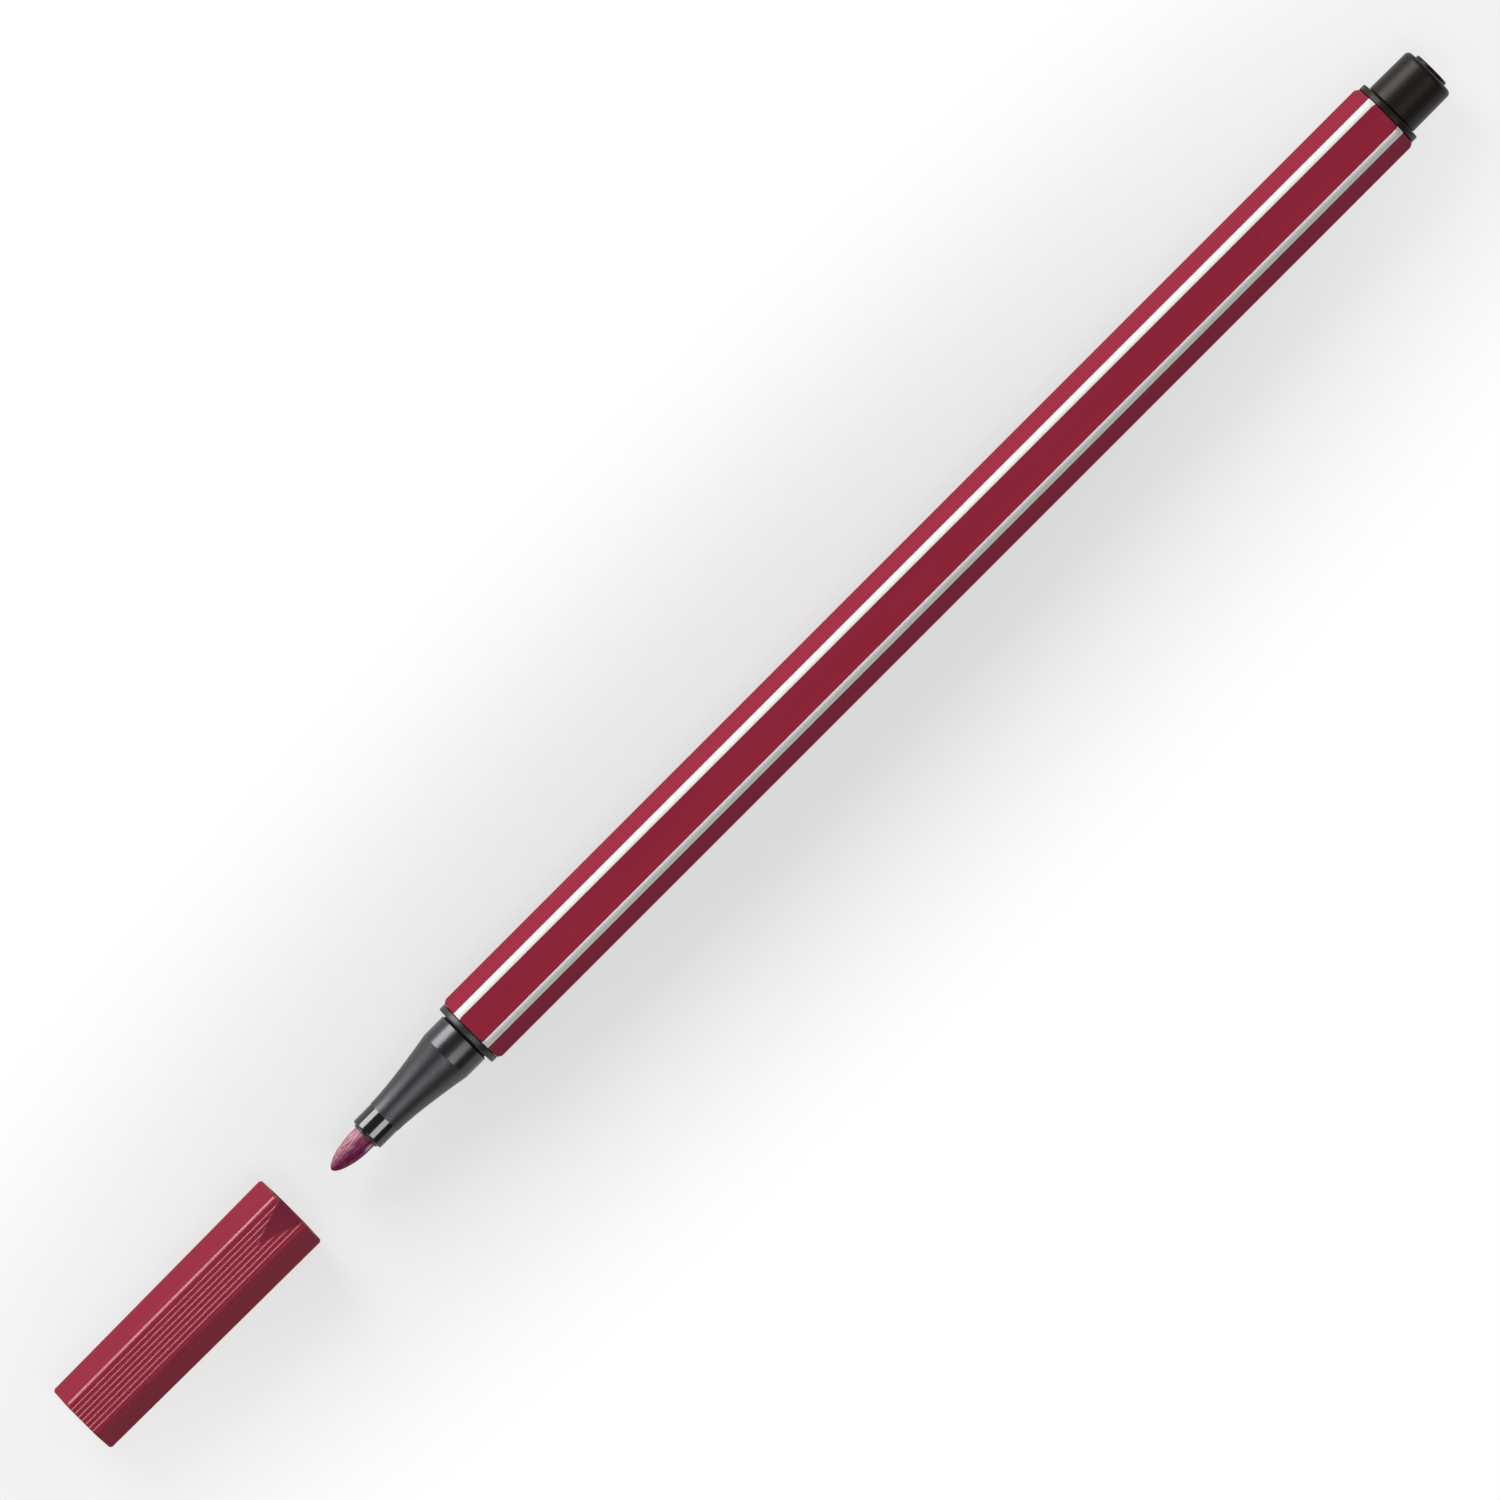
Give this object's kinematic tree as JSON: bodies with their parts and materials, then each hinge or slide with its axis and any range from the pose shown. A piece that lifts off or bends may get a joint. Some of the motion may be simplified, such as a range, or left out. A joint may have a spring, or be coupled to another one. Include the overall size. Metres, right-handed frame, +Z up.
{
  "type": "felt tip marker",
  "caption": "Slim hexagonal felt tip pen with a tapered fibre nib, black nose and rear plug, white edge stripes and a ribbed hexagonal cap that pulls off in line with the nib.",
  "frame": {"origin": "on the surface the pen lies on, under the middle of the whole length of pen and drawn-off cap", "axes": "+X along the pen from the nib towards the rear plug, +Y across the pen, +Z up, out of the flat that faces the camera"},
  "size_m": [0.191, 0.0086, 0.0076],
  "materials": {
    "barrel_plastic": "satin maroon moulded plastic with white stripes along four of its corners",
    "nose_plastic": "black plastic, finely textured on the cone and polished on the seat and the collar",
    "nib_fibre": "bonded fibre soaked with magenta ink",
    "inked_fibre": "loose fibre core soaked with ink",
    "clear_film": "thin clear film",
    "plug_plastic": "satin black plastic",
    "cap_plastic": "satin maroon moulded plastic, finely grooved on two faces",
    "liner_plastic": "natural soft plastic"
  },
  "bodies": {
    "pen": {"barrel": "barrel_plastic", "nose_section": "nose_plastic", "nib": "nib_fibre", "ink_reservoir": "inked_fibre", "reservoir_wrap": "clear_film", "rear_plug": "plug_plastic"},
    "cap": {"cap_shell": "cap_plastic", "cap_liner": "liner_plastic"}
  },
  "joints": [
    {"name": "cap_slide", "type": "slide", "parent": "pen", "child": "cap", "axis": [1, 0, 0], "range_m": [0, 0.0246]}
  ]
}
